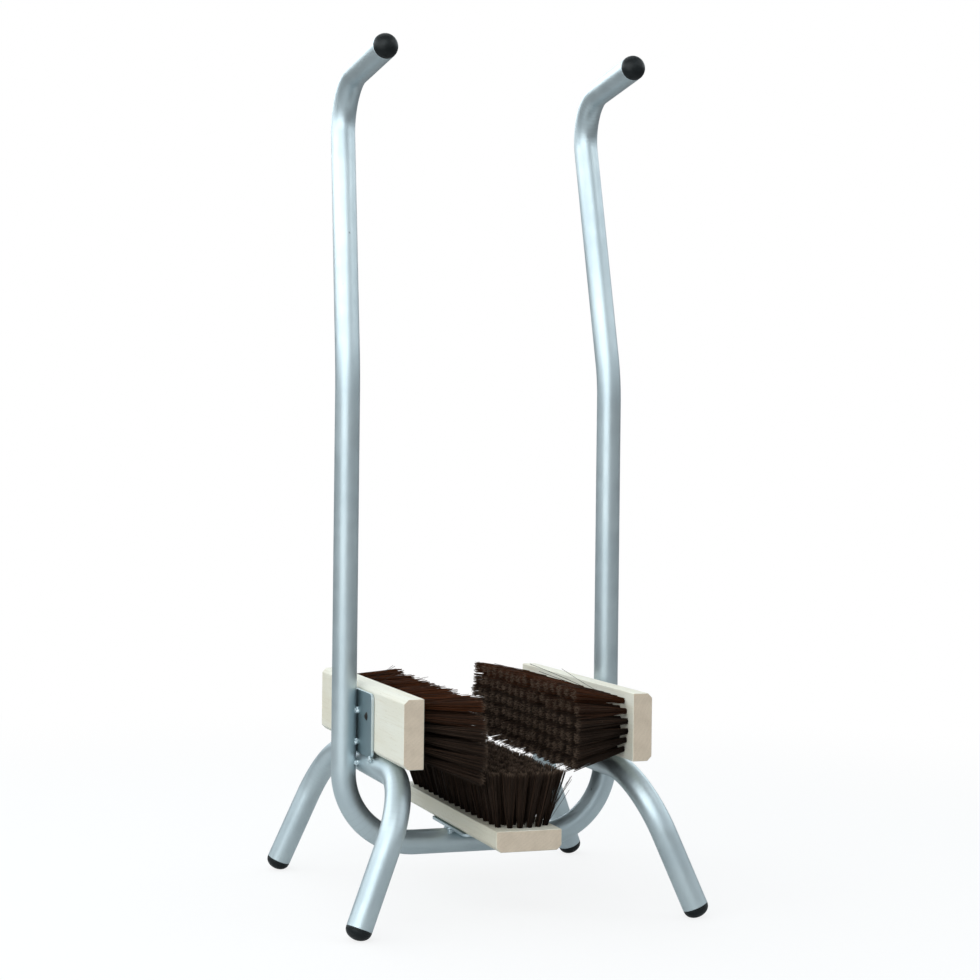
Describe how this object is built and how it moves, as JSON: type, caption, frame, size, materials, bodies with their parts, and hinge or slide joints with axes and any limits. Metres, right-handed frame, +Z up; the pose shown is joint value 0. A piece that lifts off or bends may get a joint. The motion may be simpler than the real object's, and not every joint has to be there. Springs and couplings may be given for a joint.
{
  "type": "boot scraper",
  "caption": "Free-standing boot cleaner: a bent tube frame with two handles on splayed legs holds three stiff brushes around a boot-wide channel.",
  "frame": {"origin": "on the floor under the middle of the part, half way between the four feet", "axes": "+Z up, X across the boot channel, the handles point to -Y where the user stands"},
  "size_m": [0.3624, 0.3614, 0.852],
  "materials": {
    "silver_paint": "satin silver-grey paint",
    "black_plastic": "moulded, lightly shiny black",
    "pale_wood": "raw planed pale hardwood",
    "brown_bristle": "stiff dark brown filament",
    "dark_steel": "darkened steel"
  },
  "bodies": {
    "root": {"frame_tube": "silver_paint", "leg_arch_left": "silver_paint", "leg_arch_right": "silver_paint", "left_brush_plate": "silver_paint", "right_brush_plate": "silver_paint", "bottom_brush_plate": "silver_paint", "handle_cap_left": "black_plastic", "handle_cap_right": "black_plastic", "foot_cap_front_left": "black_plastic", "foot_cap_front_right": "black_plastic", "foot_cap_back_left": "black_plastic", "foot_cap_back_right": "black_plastic", "left_brush_block": "pale_wood", "right_brush_block": "pale_wood", "bottom_brush_block": "pale_wood", "left_brush_bristles": "brown_bristle", "right_brush_bristles": "brown_bristle", "bottom_brush_bristles": "brown_bristle", "left_brush_screw_front": "dark_steel", "left_brush_screw_back": "dark_steel", "right_brush_screw_front": "dark_steel", "right_brush_screw_back": "dark_steel", "bottom_brush_screw_front": "dark_steel", "bottom_brush_screw_back": "dark_steel"}
  },
  "joints": []
}
